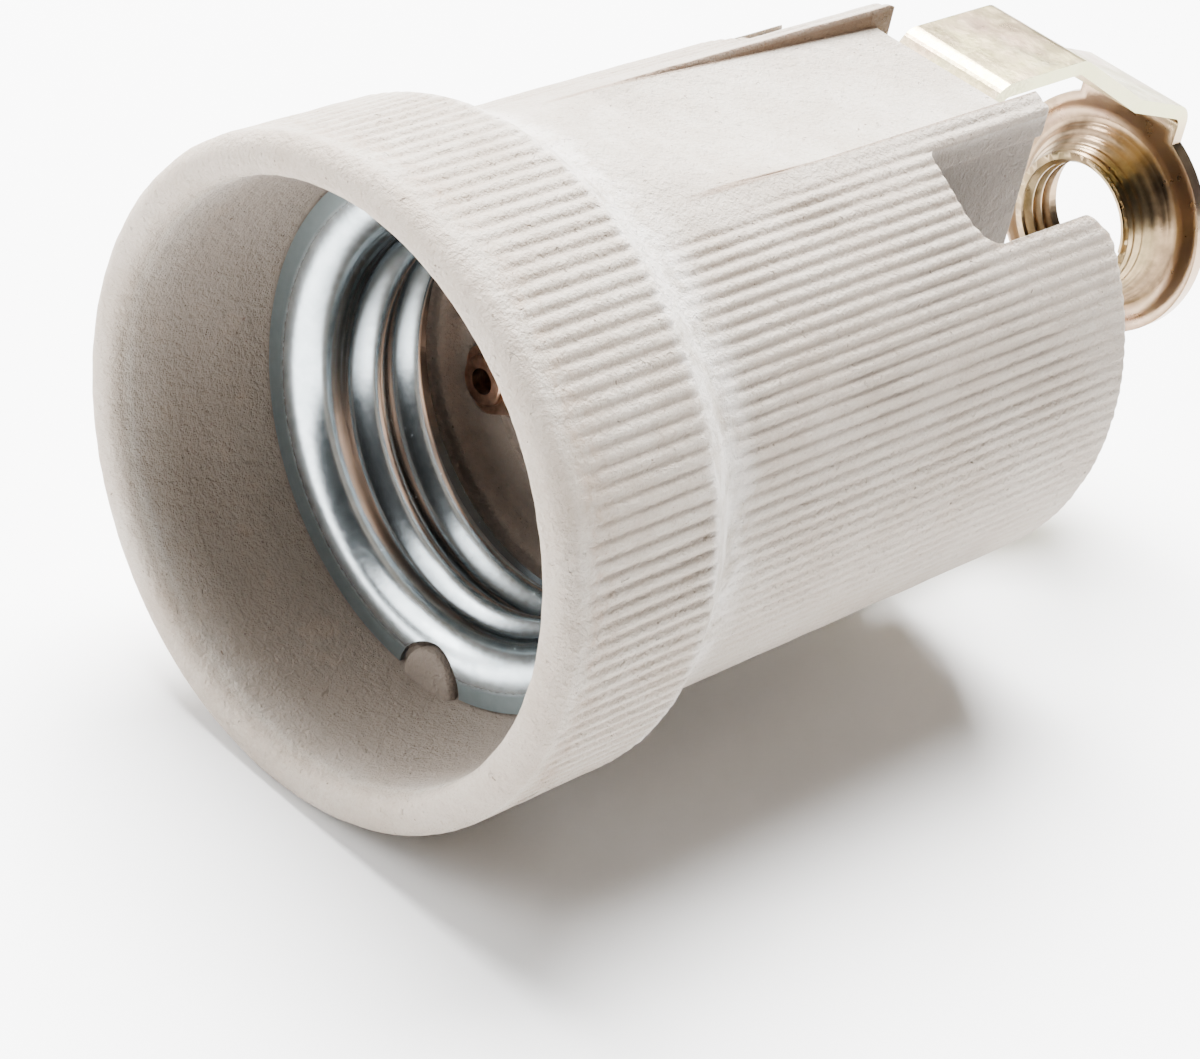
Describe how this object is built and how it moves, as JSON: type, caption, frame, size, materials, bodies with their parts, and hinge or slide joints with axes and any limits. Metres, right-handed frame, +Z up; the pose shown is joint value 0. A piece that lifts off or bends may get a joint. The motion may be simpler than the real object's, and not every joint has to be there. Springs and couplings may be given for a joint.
{
  "type": "screw-socket lamp holder",
  "caption": "Porcelain screw-socket lamp holder with a metal screw shell, centre contact, two screw terminals and a bent steel bracket for a threaded tube.",
  "frame": {"origin": "under the middle of the whole part, on the surface that the collar rests on", "axes": "+Y along the holder's axis from the mouth to the bracket's end plate; +Z up, through the upper leg of the bracket; +X towards the shell terminal"},
  "size_m": [0.043, 0.075, 0.043],
  "materials": {
    "porcelain": "unglazed matte, fine grain",
    "zinc_shell": "rolled, zinc plated",
    "copper_contact": "bright rolled copper alloy",
    "brass_rivet": "turned and set",
    "copper_rivet": "set copper alloy",
    "brass_terminal": "stamped",
    "zinc_washer": "zinc plated",
    "zinc_screw": "zinc plated",
    "chromated_steel": "yellow chromated zinc with an iridescent bloom",
    "zinc_bolt": "zinc plated",
    "dark_spring_steel": "oiled spring steel",
    "zinc_nut": "zinc plated"
  },
  "bodies": {
    "holder": {"porcelain_body": "porcelain", "screw_shell": "zinc_shell", "centre_contact": "copper_contact", "contact_rivet": "copper_rivet", "shell_rivet": "brass_rivet", "contact_terminal_plate": "brass_terminal", "shell_terminal_plate": "brass_terminal", "mounting_bracket": "chromated_steel", "upper_bracket_bolt": "zinc_bolt", "lower_bracket_bolt": "zinc_bolt", "upper_lock_washer": "dark_spring_steel", "lower_lock_washer": "dark_spring_steel", "upper_bracket_nut": "zinc_nut", "lower_bracket_nut": "zinc_nut"},
    "contact_clamp": {"contact_clamp_washer": "zinc_washer"},
    "contact_screw": {"contact_terminal_screw": "zinc_screw"},
    "shell_clamp": {"shell_clamp_washer": "zinc_washer"},
    "shell_screw": {"shell_terminal_screw": "zinc_screw"}
  },
  "joints": [
    {"name": "contact_screw_turn", "type": "hinge", "parent": "contact_clamp", "child": "contact_screw", "pos_m": [-0.0112, 0.0037, 0.0255], "axis": [0, 1, 0], "range_deg": [0, 1200]},
    {"name": "contact_clamp_lift", "type": "slide", "parent": "holder", "child": "contact_clamp", "axis": [0, 1, 0], "range_m": [0, 0.002]},
    {"name": "shell_screw_turn", "type": "hinge", "parent": "shell_clamp", "child": "shell_screw", "pos_m": [0.0112, 0.0037, 0.0255], "axis": [0, 1, 0], "range_deg": [0, 1200]},
    {"name": "shell_clamp_lift", "type": "slide", "parent": "holder", "child": "shell_clamp", "axis": [0, 1, 0], "range_m": [0, 0.002]}
  ],
  "couplings": [
    {"joint": "contact_screw_turn", "follows": "contact_clamp_lift", "rad_per_m": 10472},
    {"joint": "shell_screw_turn", "follows": "shell_clamp_lift", "rad_per_m": 10472}
  ]
}
